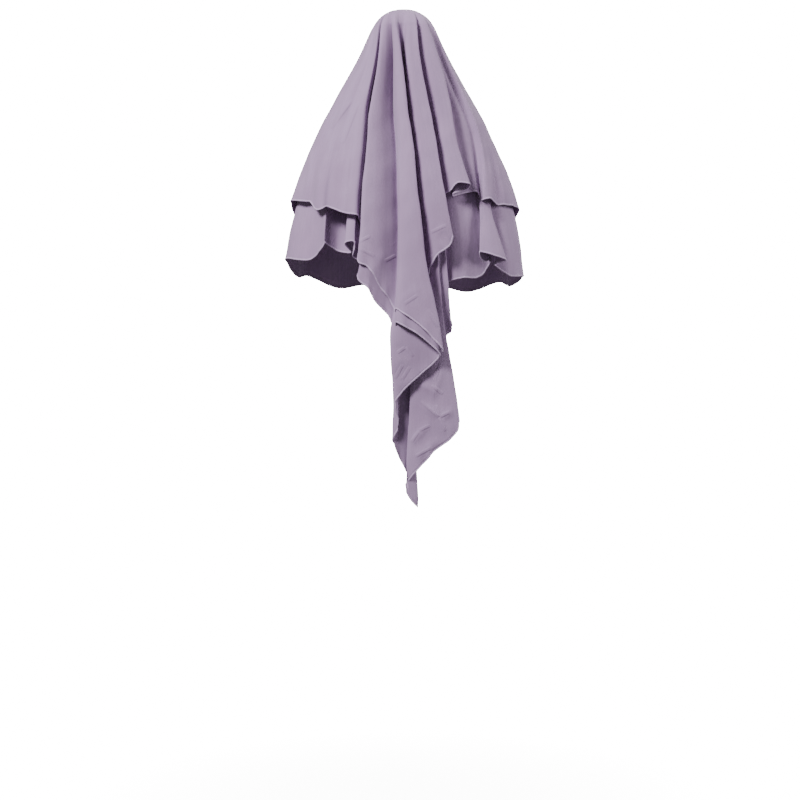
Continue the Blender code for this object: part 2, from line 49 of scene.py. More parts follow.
# The drape, in metres. A drop is a height below the crown.
drape = {
    "crownHalfWidth": 0.0715,
    "crownBack": 0.090,
    "crownFront": 0.092,
    "shoulderHalfWidth": 0.185,
    "hipHalfWidth": 0.260,
    "backDepth": 0.160,
    "frontDepth": 0.165,
    "foldDepth": 0.020,
    "browDrop": 0.043,
    "chinDrop": 0.238,
    "faceHalfWidth": 0.064,
    "headDrop": 0.100,
    "shoulderDrop": 0.260,
    "elbowDrop": 0.430,
    "hipDrop": 0.580,
    "length": 1.077,
    "domePower": 0.30,  # the crown falls away with this power, turned over
    "lift": 0.00125,  # the middle surface of the two tiers above the head
    "crownGap": 0.0005,  # between the tiers at the crown, and from the shoulder down
    "tierGap": 0.0016,
    "headRise": 0.85,  # how much of the folds shows at the level of the head
    "frontFolds": 5,
    "frontOut": 0.45,
    "frontSway": 0.008,
    "frontRise": (0, 0.10, 0.15),  # how much of the front's folds shows at the first drops
    "leastHalfWidth": 0.03,  # the drape counts as at least this wide round the opening
    "slack": 0.10,  # how far the lower tier lies in and left of the upper in their tail
    "shift": 0.01,
}

# The size of the drape at each drop: half width, back and front depth
sections = (
    (drape["browDrop"], drape["crownHalfWidth"], drape["crownBack"], drape["crownFront"]),
    (drape["headDrop"], 1.37 * drape["crownHalfWidth"], 1.13 * drape["crownBack"],
        1.05 * drape["crownFront"]),
    (drape["shoulderDrop"], drape["shoulderHalfWidth"], 0.75 * drape["backDepth"],
        0.68 * drape["frontDepth"]),
    (drape["elbowDrop"], 0.94 * drape["hipHalfWidth"], 0.92 * drape["backDepth"],
        0.92 * drape["frontDepth"]),
    (drape["hipDrop"], drape["hipHalfWidth"], drape["backDepth"], drape["frontDepth"]),
    (drape["length"], drape["hipHalfWidth"], drape["backDepth"], drape["frontDepth"]),
)

# The folds of the back from left to right. Each line has its place across at the head and
# at the shoulder (a share of the half width there) and how far out it lies at the shoulder
# (a share of the fold depth). Then come, for the upper tier and for the lower: across at
# the elbow, across at the hip, out at the elbow, out at the hip, and where the hem crosses
# the line, as a share of the tier's length.
backFolds = {
    "leftSide": (-1.00, -1.00, 0.00, (-1.00, -1.00, 0.30, 0.30, 0.557),
        (-1.00, -1.00, -0.30, 0.25, 0.503)),
    "leftDip": (-0.95, -0.94, 0.00, (-0.91, -0.90, -0.30, -0.30, 0.564),
        (-0.93, -0.91, -0.90, -0.50, 0.509)),
    "leftCrease": (-0.90, -0.89, -0.05, (-0.84, -0.83, -0.35, -0.35, 0.569),
        (-0.85, -0.82, -0.95, -0.85, 0.510)),
    "leftBlade": (-0.84, -0.80, 0.05, (-0.75, -0.74, 0.20, 0.20, 0.595),
        (-0.74, -0.70, -0.65, -0.20, 0.495)),
    "leftEdge": (-0.79, -0.74, 0.10, (-0.69, -0.68, 0.35, 0.35, 0.598),
        (-0.68, -0.645, -0.25, 0.35, 0.481)),
    "leftNotch": (-0.76, -0.71, 0.05, (-0.66, -0.65, 0.15, 0.15, 0.590),
        (-0.67, -0.635, -1.10, -0.75, 0.485)),
    "leftValley": (-0.73, -0.67, -0.05, (-0.60, -0.60, 0.05, 0.05, 0.597),
        (-0.62, -0.59, -2.00, -1.60, 0.495)),
    "fluteTuck": (-0.67, -0.60, 0.00, (-0.54, -0.54, 0.05, 0.05, 0.606),
        (-0.505, -0.48, -2.00, -1.60, 0.499)),
    "fluteLeft": (-0.62, -0.54, 0.08, (-0.485, -0.485, 0.12, 0.12, 0.612),
        (-0.50, -0.495, -0.70, 0.05, 0.483)),
    "fluteRight": (-0.585, -0.455, 0.20, (-0.40, -0.40, 0.20, 0.15, 0.618),
        (-0.415, -0.40, -0.60, 0.15, 0.481)),
    "fluteBack": (-0.62, -0.448, -1.20, (-0.392, -0.40, -1.10, -1.00, 0.630),
        (-0.43, -0.43, -1.30, -0.90, 0.510)),
    "spineLeftTuck": (-0.60, -0.42, -1.60, (-0.368, -0.38, -1.50, -1.35, 0.673),
        (-0.35, -0.345, -1.65, -1.50, 0.520)),
    "spineLeftEdge": (-0.475, -0.378, 0.50, (-0.338, -0.362, 0.75, 0.75, 0.749),
        (-0.325, -0.352, 0.60, 0.60, 0.551)),
    "spineLeft": (-0.45, -0.34, 0.50, (-0.28, -0.28, 0.65, 0.75, 0.767),
        (-0.28, -0.28, 0.52, 0.60, 0.573)),
    "spineDip": (-0.38, -0.26, 0.10, (-0.20, -0.20, 0.20, 0.35, 0.810),
        (-0.20, -0.21, 0.07, 0.22, 0.596)),
    "spineTrough": (-0.31, -0.165, -0.70, (-0.11, -0.11, -0.50, -0.40, 0.857),
        (-0.11, -0.11, -0.63, -0.53, 0.625)),
    "spineTuck": (-0.265, -0.115, -1.15, (-0.05, -0.048, -1.10, -0.90, 0.892),
        (-0.05, -0.048, -1.23, -1.03, 0.650)),
    "spineStep": (-0.235, -0.085, -0.35, (-0.038, -0.036, 0.15, 0.40, 0.886),
        (-0.038, -0.036, 0.02, 0.27, 0.640)),
    "spineRidge": (-0.17, -0.03, 0.40, (0.03, 0.05, 0.75, 1.00, 0.930),
        (0.03, 0.05, 0.62, 0.87, 0.665)),
    "spineEdge": (-0.08, 0.05, 0.70, (0.115, 0.175, 1.00, 1.15, 1.000),
        (0.105, 0.165, 0.87, 1.02, 0.705)),
    "spineTurn": (-0.075, 0.048, 0.10, (0.11, 0.17, 0.40, 0.60, 0.985),
        (0.095, 0.155, 0.27, 0.47, 0.708)),
    "tailLeftTuck": (-0.072, 0.03, -0.55, (0.075, 0.125, -0.45, -0.35, 0.890),
        (0.055, 0.00, -0.65, -0.45, 0.797)),
    "tailStrip": (-0.06, 0.035, -0.75, (0.08, 0.13, -0.70, -0.60, 0.865),
        (0.065, 0.00, -0.88, -0.75, 0.838)),
    "tailLeftTurn": (-0.045, 0.045, -0.90, (0.09, 0.14, -0.85, -0.70, 0.840),
        (0.08, 0.02, -1.02, -0.90, 0.869)),
    "tailInner": (-0.025, 0.06, -0.95, (0.11, 0.165, -0.90, -0.75, 0.820),
        (0.11, 0.08, -1.10, -1.05, 0.920)),
    "tailInnerTurn": (0.00, 0.08, -0.90, (0.13, 0.185, -0.80, -0.65, 0.800),
        (0.135, 0.135, -1.05, -1.10, 0.950)),
    "tailTip": (0.025, 0.10, -0.65, (0.15, 0.205, -0.45, -0.35, 0.785),
        (0.155, 0.16, -0.90, -1.00, 1.000)),
    "tailFrontEdge": (0.06, 0.13, -0.10, (0.18, 0.225, 0.10, 0.10, 0.762),
        (0.17, 0.18, -0.60, -0.80, 0.961)),
    "tailFront": (0.12, 0.18, 0.20, (0.235, 0.275, 0.40, 0.40, 0.732),
        (0.23, 0.23, -0.15, -0.40, 0.897)),
    "tailRightEdge": (0.20, 0.24, 0.35, (0.285, 0.34, 0.55, 0.55, 0.718),
        (0.275, 0.29, 0.10, -0.10, 0.832)),
    "stripTuck": (0.25, 0.285, 0.45, (0.32, 0.385, 0.65, 0.60, 0.704),
        (0.30, 0.30, 0.10, -0.50, 0.685)),
    "stripEdge": (0.29, 0.31, 0.50, (0.345, 0.42, 0.70, 0.60, 0.682),
        (0.325, 0.36, 0.05, -0.25, 0.651)),
    "foldTuck": (0.30, 0.312, -0.30, (0.338, 0.37, -0.45, -0.50, 0.620),
        (0.305, 0.33, -0.75, -0.90, 0.600)),
    "bladeTuck": (0.335, 0.345, -0.80, (0.365, 0.385, -0.75, -0.65, 0.564),
        (0.35, 0.36, -1.10, -1.15, 0.563)),
    "bladeLeft": (0.40, 0.385, -0.40, (0.41, 0.42, -0.10, -0.05, 0.550),
        (0.42, 0.42, -0.90, -0.75, 0.555)),
    "bladeRidge": (0.50, 0.445, 0.25, (0.48, 0.48, 0.55, 0.60, 0.527),
        (0.48, 0.49, -0.85, -0.60, 0.551)),
    "bladeEdge": (0.645, 0.54, 0.50, (0.57, 0.57, 0.80, 0.80, 0.530),
        (0.53, 0.53, -0.90, -0.66, 0.550)),
    "bladeTurn": (0.65, 0.545, -0.10, (0.565, 0.565, 0.30, 0.30, 0.540),
        (0.555, 0.555, -0.96, -0.72, 0.550)),
    "bladeBack": (0.67, 0.565, -0.65, (0.43, 0.43, -0.15, -0.15, 0.556),
        (0.575, 0.575, -1.00, -0.78, 0.550)),
    "bladeReturn": (0.69, 0.595, -0.80, (0.435, 0.435, -0.45, -0.45, 0.562),
        (0.60, 0.60, -1.05, -0.86, 0.550)),
    "rightDip": (0.71, 0.63, -0.75, (0.60, 0.60, -0.55, -0.55, 0.547),
        (0.635, 0.64, -1.12, -0.96, 0.548)),
    "rightNotch": (0.76, 0.71, -0.45, (0.655, 0.655, -0.35, -0.35, 0.547),
        (0.675, 0.71, -1.20, -1.10, 0.538)),
    "bellTuck": (0.81, 0.79, -0.50, (0.705, 0.705, -0.75, -0.70, 0.564),
        (0.71, 0.77, -1.20, -0.90, 0.512)),
    "bellInner": (0.845, 0.815, -0.20, (0.70, 0.70, -0.20, -0.20, 0.569),
        (0.70, 0.66, -0.95, -0.35, 0.518)),
    "bellLeft": (0.87, 0.825, 0.20, (0.69, 0.69, 0.35, 0.30, 0.569),
        (0.69, 0.60, -0.50, 0.30, 0.499)),
    "bellMiddle": (0.89, 0.86, 0.10, (0.735, 0.735, 0.35, 0.35, 0.565),
        (0.735, 0.71, -0.20, 0.85, 0.506)),
    "bellRight": (0.92, 0.89, 0.05, (0.78, 0.78, 0.25, 0.25, 0.572),
        (0.775, 0.83, -0.25, 0.60, 0.513)),
    "rightTuck": (0.945, 0.92, 0.00, (0.82, 0.82, -0.10, -0.10, 0.580),
        (0.79, 0.79, -0.80, -0.60, 0.522)),
    "rightFall": (0.97, 0.96, 0.00, (0.89, 0.89, 0.05, 0.05, 0.575),
        (0.88, 0.88, -0.40, 0.00, 0.542)),
    "rightSide": (1.00, 1.00, 0.00, (1.00, 1.00, 0.40, 0.40, 0.580),
        (1.00, 1.00, -0.10, 0.30, 0.538)),
}

# Further down the tails: across at three more drops, out at the first and at the others.
# The spine is the tail that both tiers share.
tailDrops = (0.66 * drape["length"], 0.81 * drape["length"], 0.99 * drape["length"])
spineTail = {
    "spineLeftEdge": (-0.50, -0.50, -0.50, 0.60, 0.60),
    "spineLeft": (-0.26, -0.26, -0.26, 0.90, 0.90),
    "spineDip": (-0.25, -0.25, -0.25, 0.70, 0.70),
    "spineTrough": (-0.12, -0.12, -0.12, 0.30, 0.60),
    "spineTuck": (-0.07, -0.08, -0.08, 0.35, 0.70),
    "spineStep": (-0.055, -0.065, -0.065, 1.05, 1.10),
    "spineRidge": (0.12, 0.12, 0.12, 1.45, 1.45),
    "spineEdge": (0.27, 0.30, 0.30, 1.45, 1.45),
    "spineTurn": (0.26, 0.29, 0.29, 0.95, 0.95),
}
lowerTail = {
    "tailLeftTuck": (-0.09, -0.06, -0.06, 0.30, 0.30),
    "tailStrip": (-0.10, -0.04, -0.04, 0.00, 0.10),
    "tailLeftTurn": (-0.09, -0.08, -0.08, -0.25, -0.20),
    "tailInner": (0.00, 0.00, 0.00, -0.75, -0.75),
    "tailInnerTurn": (0.12, 0.10, 0.06, -1.00, -1.00),
    "tailTip": (0.10, 0.08, 0.12, -0.80, -0.70),
    "tailFrontEdge": (0.07, 0.04, 0.01, -0.50, -0.30),
    "tailFront": (0.22, 0.22, 0.22, 0.00, 0.15),
    "tailRightEdge": (0.34, 0.44, 0.44, 0.00, 0.10),
    "stripTuck": (0.32, 0.38, 0.38, -0.60, -0.60),
    "stripEdge": (0.40, 0.42, 0.42, -0.45, -0.50),
    "foldTuck": (0.37, 0.39, 0.39, -1.05, -1.10),
    "bladeTuck": (0.40, 0.41, 0.41, -1.30, -1.30),
}

upperCloth = {
    "name": "upper_cloth",
    "node": "upper_tier",
    "kind": 3,  # where its numbers stand in the rows of backFolds
    "length": 0.748,
    "front": 0.500,
    "side": 1,  # outside the lower tier
    "tail": spineTail,
    "slack": 0.0,
    "shift": 0.0,
}

lowerCloth = {
    "name": "lower_cloth",
    "node": "lower_tier",
    "kind": 4,
    "length": 1.077,
    "front": 0.600,
    "side": -1,
    "tail": {**spineTail, **lowerTail},
    "slack": drape["slack"],
    "shift": drape["shift"],
}

# Pressed creases: the first and last fold line they lie between, where they start and end
# (metres across and below the crown), how wide they are and how far they stand out
leftPanel = ("leftSide", "fluteRight")
spinePanel = ("spineLeftEdge", "spineEdge")
tailBack = ("spineTurn", "tailLeftTuck")
tailFace = ("tailTip", "stripTuck")
creases = {
    "upper_cloth": (
        (*leftPanel, (-0.108, 0.205), (-0.155, 0.266), 0.006, 0.0014),
        (*leftPanel, (-0.096, 0.214), (-0.130, 0.304), 0.006, 0.0014),
        (*leftPanel, (-0.199, 0.310), (-0.209, 0.420), 0.006, 0.0020),
        (*leftPanel, (-0.173, 0.330), (-0.182, 0.440), 0.009, 0.0018),
        (*leftPanel, (-0.142, 0.320), (-0.148, 0.450), 0.009, 0.0016),
        (*leftPanel, (-0.116, 0.320), (-0.119, 0.450), 0.008, 0.0016),
        (*spinePanel, (-0.095, 0.515), (-0.055, 0.560), 0.007, 0.0016),
        (*spinePanel, (-0.092, 0.480), (-0.070, 0.520), 0.007, 0.0012),
        (*spinePanel, (-0.040, 0.540), (-0.070, 0.590), 0.008, 0.0014),
        (*spinePanel, (-0.010, 0.650), (0.034, 0.615), 0.008, 0.0014),
        (*spinePanel, (0.055, 0.670), (0.036, 0.720), 0.008, 0.0014),
        ("tailFront", "stripEdge", (0.060, 0.500), (0.090, 0.490), 0.008, 0.0014),
        ("tailFront", "stripEdge", (0.050, 0.530), (0.085, 0.525), 0.008, 0.0012),
        ("rightNotch", "rightSide", (0.205, 0.380), (0.225, 0.425), 0.009, 0.0016),
    ),
    "lower_cloth": (
        (*tailFace, (0.040, 0.860), (0.076, 0.886), 0.006, 0.0035),
        (*tailFace, (0.076, 0.886), (0.104, 0.872), 0.006, 0.0035),
        (*tailFace, (0.076, 0.886), (0.088, 0.920), 0.006, 0.0029),
        (*tailFace, (0.016, 0.940), (0.052, 0.900), 0.006, 0.0035),
        (*tailFace, (0.024, 0.970), (0.078, 0.932), 0.006, 0.0026),
        (*tailFace, (0.030, 0.815), (0.070, 0.835), 0.006, 0.0029),
        (*tailFace, (0.085, 0.770), (0.060, 0.850), 0.006, 0.0026),
        (*tailBack, (-0.018, 0.806), (0.000, 0.774), 0.006, 0.0035),
        (*tailBack, (-0.004, 0.815), (0.010, 0.780), 0.006, 0.0029),
        (*tailBack, (-0.016, 0.735), (0.015, 0.760), 0.006, 0.0029),
        (*tailBack, (0.015, 0.815), (-0.014, 0.835), 0.006, 0.0026),
        ("rightDip", "bellTuck", (0.110, 0.500), (0.145, 0.560), 0.010, 0.0020),
    ),
}

# How finely the cloth is cut up, and how thick it is
mesh = {
    "columnWidth": 0.0044,
    "fewestColumns": 3,
    "mostColumns": 10,
    "fineSpans": ("spineTurn", "tailFrontEdge", "tailFront"),  # the wide faces of the tail
    "fineColumns": 18,
    "crownRows": 10,
    "faceRows": 18,
    "skirtRows": 84,
    "cloth": 0.0007,
    "inset": 0.00015,
    "mitre": 0.5,
    "uneven": 0.0009,  # how far the slow waves in the cloth stand out
    "ripple": 0.0011,  # the same for the ripples along the hem
    "rippleDepth": 0.018,
    "seamFade": 0.08,  # the ripples come in over this way from the seam in front
    "creaseFade": 0.5,  # the creases come in over this share of the way between two lines
    "measuredAt": (0.6, 0.8, 1.0),  # shares of the hem's drop where a stretch is measured
    "merge": 1e-6,  # points closer than this are one
    "leastChord": 1e-5,
}

# The slow waves in the cloth: the share of each, and for each of its two sines the radians
# per metre across and per metre down, and the start
waves = (
    (1.0, (43, 11, 0), (-17, 29, 2)),
    (0.5, (97, 31, 1), (-41, 67, 0)),
)

# The ripples along the hem: the share of each, its radians per metre and its start
ripples = ((1.0, 140, 0), (0.6, 223, 1))


# The slope at each knot is the mean of the steps on its two sides, and at the knots in
# fromAbove the step before it.
def slopesOf(knots, values, fromAbove=()):
    steps = np.diff(values, axis=-1) / np.diff(knots)
    inner = (steps[..., 1:] + steps[..., :-1]) / 2
    tilt = np.concatenate([steps[..., :1], inner, steps[..., -1:]], axis=-1)
    for knot in fromAbove:
        tilt[..., knot] = steps[..., knot - 1]
    return tilt


# The cubic with the two given values and slopes, at a share from 0 to 1 of the way
def hermite(share, width, start, end, startSlope, endSlope):
    square, cube = share**2, share**3
    return (
        (2 * cube - 3 * square + 1) * start
        + (cube - 2 * square + share) * width * startSlope
        + (3 * square - 2 * cube) * end
        + (cube - square) * width * endSlope
    )


# A table has one row of values at the knots for each line. Each grid point reads its own
# row at its own drop, on the cubic between the two knots round it.
def through(knots, table, rows, at, fromAbove=()):
    knots = np.asarray(knots, float)
    at = np.clip(at, knots[0], knots[-1])
    spot = np.clip(np.searchsorted(knots, at, side="right") - 1, 0, len(knots) - 2)
    width = knots[spot + 1] - knots[spot]
    tilt = slopesOf(knots, table, fromAbove)
    rows = np.broadcast_to(rows, at.shape)
    ends = table[rows, spot], table[rows, spot + 1], tilt[rows, spot], tilt[rows, spot + 1]
    return hermite((at - knots[spot]) / width, width, *ends)


# Half width (1), back (2) or front (3) of the drape: a power of the drop over the brow,
# then the smooth curve through the sections.
def girth(drop, column):
    values = np.array([[section[column] for section in sections]])
    dome = values[0, 0] * np.clip(drop / drape["browDrop"], 0, 1) ** drape["domePower"]
    below = through([section[0] for section in sections], values, 0, drop)
    return np.where(drop < drape["browDrop"], dome, below)


# The face opening is an ellipse from the brow to the chin.
def faceHalfWidth(drop):
    middle = (drape["browDrop"] + drape["chinDrop"]) / 2
    half = (drape["chinDrop"] - drape["browDrop"]) / 2
    share = np.clip((drop - middle) / half, -1, 1)
    return drape["faceHalfWidth"] * np.sqrt(1 - share**2)


# From one side round to the front centre ridges and valleys take turns, and the hem runs
# from the side's to the front's with the square root of the way. Gives turn, out and hem.
def frontLines(tier, hand):
    rows = list(backFolds.values())
    sideHem = rows[0 if hand < 0 else -1][tier["kind"]][4]
    frontHem = tier["front"] / tier["length"]
    lines = []
    for n in range(1, drape["frontFolds"] + 1):
        share = n / drape["frontFolds"]
        ridge = 1 if n % 2 == 0 else -1
        hem = sideHem + (frontHem - sideHem) * share**0.5 - ridge * drape["frontSway"]
        lines.append((hand * 90 * (1 + share), ridge * drape["frontOut"], hem))
    return lines


# Every line round a tier, from the front centre by the left side, the back and the right
# side. A line's turn is the angle round the plan at each knot, from the arcsine of its
# place across, its out is in metres, and its hem is a drop.
def foldLines(tier):
    knots = [0, drape["headDrop"], drape["shoulderDrop"], drape["elbowDrop"],
        drape["hipDrop"], *tailDrops]
    front = [*drape["frontRise"], *[1] * (len(knots) - len(drape["frontRise"]))]
    turns, outs, hems = [], [], []

    def addFront(lines):
        for turn, out, hem in lines:
            turns.append([turn] * len(knots))
            outs.append([rise * out for rise in front])
            hems.append(hem)

    addFront(reversed(frontLines(tier, -1)))
    for n, (name, row) in enumerate(backFolds.items()):
        head, shoulder, outShoulder = row[:3]
        elbow, hip, outElbow, outHip, hem = row[tier["kind"]]
        more = tier["tail"].get(name, (hip, hip, hip, outHip, outHip))
        under = name in spineTail
        crown = math.sin(math.pi * (n / (len(backFolds) - 1) - 0.5))
        across = [crown, head, shoulder, elbow, hip]
        across += [share - tier["shift"] * under for share in more[:3]]
        out = [0, drape["headRise"] * outShoulder, outShoulder, outElbow, outHip]
        out += [share - tier["slack"] * under for share in (more[3], more[4], more[4])]
        turns.append(np.degrees(np.arcsin(across)))
        outs.append(out)
        hems.append(hem)
    addFront(frontLines(tier, 1))
    return knots, np.array(turns), np.array(outs) * drape["foldDepth"], (
        np.array(hems) * tier["length"])


# Each vector divided by its length. One without a length stays as it is.
def unit(vectors):
    return vectors / np.maximum(np.linalg.norm(vectors, axis=-1, keepdims=True), 1e-12)


# Where a line passes a drop, in plan: on the ellipse of that drop at the line's turn, and
# its out further along the ellipse's normal. In front the turn stops at the face opening.
def linePoint(knots, turns, outs, line, drop):
    line = np.clip(line, 0, len(turns) - 1)
    shoulder = (knots.index(drape["shoulderDrop"]),)
    turn = through(knots, turns, line, drop, shoulder)
    out = through(knots, outs, line, drop, shoulder)
    half, back, front = [girth(drop, column) for column in (1, 2, 3)]
    wide = np.maximum(half, drape["leastHalfWidth"])
    edge = np.arcsin(np.clip(faceHalfWidth(drop) / wide, 0, 1))
    past = np.clip(np.abs(turn) - 90, 0, 90) * (90 - np.degrees(edge)) / 90
    turn = np.radians(np.where(np.abs(turn) > 90, np.sign(turn) * (90 + past), turn))
    deep = np.where(np.abs(turn) > math.pi / 2, front, back)
    across, along = np.sin(turn), -np.cos(turn)
    normal = unit(np.stack([across * deep, along * half], -1))
    return np.stack([half * across, deep * along], -1) + out[..., None] * normal


# The centripetal curve through four points, between the middle two: each knot lies the
# square root of the distance beyond the last.
def spanPoint(p0, p1, p2, p3, share):
    def chord(a, b):
        length = np.linalg.norm(b - a, axis=-1, keepdims=True)
        return np.maximum(length, mesh["leastChord"]) ** 0.5

    t1 = chord(p0, p1)
    t2 = t1 + chord(p1, p2)
    t3 = t2 + chord(p2, p3)
    t = t1 + share[..., None] * (t2 - t1)
    a1 = (t1 - t) / t1 * p0 + t / t1 * p1
    a2 = (t2 - t) / (t2 - t1) * p1 + (t - t1) / (t2 - t1) * p2
    a3 = (t3 - t) / (t3 - t2) * p2 + (t - t2) / (t3 - t2) * p3
    b1 = (t2 - t) / t2 * a1 + t / t2 * a2
    b2 = (t3 - t) / (t3 - t1) * a2 + (t - t1) / (t3 - t1) * a3
    return (t2 - t) / (t2 - t1) * b1 + (t - t1) / (t2 - t1) * b2


# The places of the columns, counted in lines: a wide stretch between two lines gets more.
def columnPlaces():
    widths = []
    for tier in (upperCloth, lowerCloth):
        knots, turns, outs, hems = foldLines(tier)
        line = np.arange(len(turns))[:, None]
        for share in mesh["measuredAt"]:
            points = linePoint(knots, turns, outs, line, hems[:, None] * share)[:, 0]
            widths.append(np.linalg.norm(np.diff(points, axis=0), axis=1))
    steps = np.round(np.max(widths, axis=0) / mesh["columnWidth"])
    steps = np.clip(steps, mesh["fewestColumns"], mesh["mostColumns"]).astype(int)
    for name in mesh["fineSpans"]:
        steps[drape["frontFolds"] + list(backFolds).index(name)] = mesh["fineColumns"]
    places = [line + np.arange(count) / count for line, count in enumerate(steps)]
    return np.concatenate(places + [[len(steps)]])


# The drop of each row in each column: even over the dome and round the face opening, then
# even shares of what is left down to the hem.
def rowDrops(hems):
    brow, chin = drape["browDrop"], drape["chinDrop"]
    crown = brow * np.linspace(0, 1, mesh["crownRows"] + 1) ** (1 / drape["domePower"])
    swing = np.linspace(0, math.pi, mesh["faceRows"] + 1)[1:]
    face = (brow + chin) / 2 - (chin - brow) / 2 * np.cos(swing)
    head = np.concatenate([crown, face])
    head = np.broadcast_to(head, (len(hems), len(head)))
    share = np.linspace(0, 1, mesh["skirtRows"] + 1)[1:]
    return np.concatenate([head, chin + (hems[:, None] - chin) * share], axis=1)


# The middle surface between the two tiers, down to this tier's hem
def middleSurface(tier, places):
    knots, turns, outs, hems = foldLines(tier)
    line = np.clip(places.astype(int), 0, len(turns) - 2)
    share = places - line
    tilt = slopesOf(np.arange(len(hems)), hems)
    hem = hermite(share, 1, hems[line], hems[line + 1], tilt[line], tilt[line + 1])
    drop = rowDrops(hem)
    ends = [linePoint(knots, turns, outs, (line + n)[:, None], drop) for n in (-1, 0, 1, 2)]
    plan = spanPoint(*ends, np.broadcast_to(share[:, None], drop.shape))
    return np.concatenate([plan, (drape["lift"] - drop)[..., None]], axis=-1)


# The way out from each grid point: the mean of the two faces beside it, longer at a sharp
# fold so that the wall stays even. Rows that run all the way round join up at their ends.
def outward(points):
    down = np.gradient(points, axis=1)
    faces = unit(np.cross((down[1:] + down[:-1]) / 2, np.diff(points, axis=0)))
    faces[:, 0] = (0, 0, 1)
    apart = np.linalg.norm(points[0] - points[-1], axis=-1)
    closed = (apart < mesh["merge"])[:, None]
    before = np.concatenate([np.where(closed, faces[-1], faces[0])[None], faces])
    after = np.concatenate([faces, np.where(closed, faces[0], faces[-1])[None]])
    normal = unit(before + after)
    lean = (normal * after).sum(axis=-1, keepdims=True)
    return normal / np.maximum(lean, mesh["mitre"])


# The slow waves: each is its share times the product of two sines of the place.
def slowWaves(across, drop):
    total = 0
    for share, first, second in waves:
        one, other = [a * across + d * drop + start for a, d, start in (first, second)]
        total = total + share * np.sin(one) * np.sin(other)
    return total


# The ripples: sines of the way along the hem, which die away up the cloth and fade to
# nothing at the seam in front
def hemRipples(middle):
    along = runLength(middle)[:, -1:]
    seam = np.clip(np.minimum(along, along[-1] - along) / mesh["seamFade"], 0, 1)
    total = sum(share * np.sin(turn * along + start) for share, turn, start in ripples)
    return seam * total * np.exp(-aboveHem(middle) / mesh["rippleDepth"])


# Moves the middle surface out by its slow waves, its ripples and its creases. A crease is a
# bell curve of the distance from its line, highest at its middle and nothing at its ends.
def creased(tier, middle, places):
    names = list(backFolds)
    spot = np.stack([middle[..., 0], -middle[..., 2]], axis=-1)
    across, drop = spot[..., 0], spot[..., 1]
    fallen = np.clip(drop / drape["shoulderDrop"], 0, 1)
    move = slowWaves(across, drop) * mesh["uneven"] * fallen
    move += mesh["ripple"] * hemRipples(middle)
    for first, last, start, end, width, height in creases[tier["name"]]:
        ends = [drape["frontFolds"] + names.index(name) for name in (first, last)]
        inside = np.minimum(places - ends[0], ends[1] - places) / mesh["creaseFade"]
        inside = np.clip(inside, 0, 1)[:, None]
        start, run = np.array(start), np.array(end) - np.array(start)
        share = np.clip(((spot - start) * run).sum(axis=-1) / (run**2).sum(), 0, 1)
        apart = np.linalg.norm(spot - start - share[..., None] * run, axis=-1)
        bell = np.exp(-((apart / width) ** 2)) * np.sqrt(np.sin(math.pi * share).clip(0))
        move = move + height * bell * inside
    return middle + outward(middle) * move[..., None]


# The two faces of a tier's wall. The tiers part from the crown down to the shoulder.
def wallFaces(tier, middle):
    part = np.clip(-middle[..., 2:] / drape["shoulderDrop"], 0, 1)
    gap = drape["crownGap"] + (drape["tierGap"] - drape["crownGap"]) * part
    near = gap / 2 + mesh["inset"]
    out = outward(middle) * tier["side"]
    return middle + out * near, middle + out * (near + mesh["cloth"])


# A mesh from points and faces, with its doubled points merged, its faces turned out and
# its UV map, in metres along and up the cloth
def addMesh(name, points, faces, places):
    data = bpy.data.meshes.new(name)
    data.from_pydata(points.reshape(-1, 3).tolist(), [], faces.tolist())
    layer = data.uv_layers.new(name="cloth")
    corners = places.reshape(-1, 2)[faces.ravel()].astype(np.float32)
    layer.data.foreach_set("uv", corners.ravel())
    work = bmesh.new()
    work.from_mesh(data)
    bmesh.ops.remove_doubles(work, verts=work.verts, dist=mesh["merge"])
    bmesh.ops.recalc_face_normals(work, faces=work.faces)
    work.to_mesh(data)
    work.free()
    data.shade_smooth()
    thing = bpy.data.objects.new(name, data)
    bpy.context.scene.collection.objects.link(thing)
    return thing


# The squares between neighbours in a grid of point numbers
def gridSquares(number):
    corners = [number[:-1, :-1], number[:-1, 1:], number[1:, 1:], number[1:, :-1]]
    return np.stack(corners, axis=-1).reshape(-1, 4)


# The length along a polyline up to each of its points
def runLength(points, axis=0):
    steps = np.linalg.norm(np.diff(points, axis=axis), axis=-1)
    start = np.zeros_like(np.take(steps, [0], axis))
    return np.concatenate([start, np.cumsum(steps, axis)], axis)


# How far each grid point lies above the hem, along its own column
def aboveHem(middle):
    down = runLength(middle, 1)
    return down[:, -1:] - down


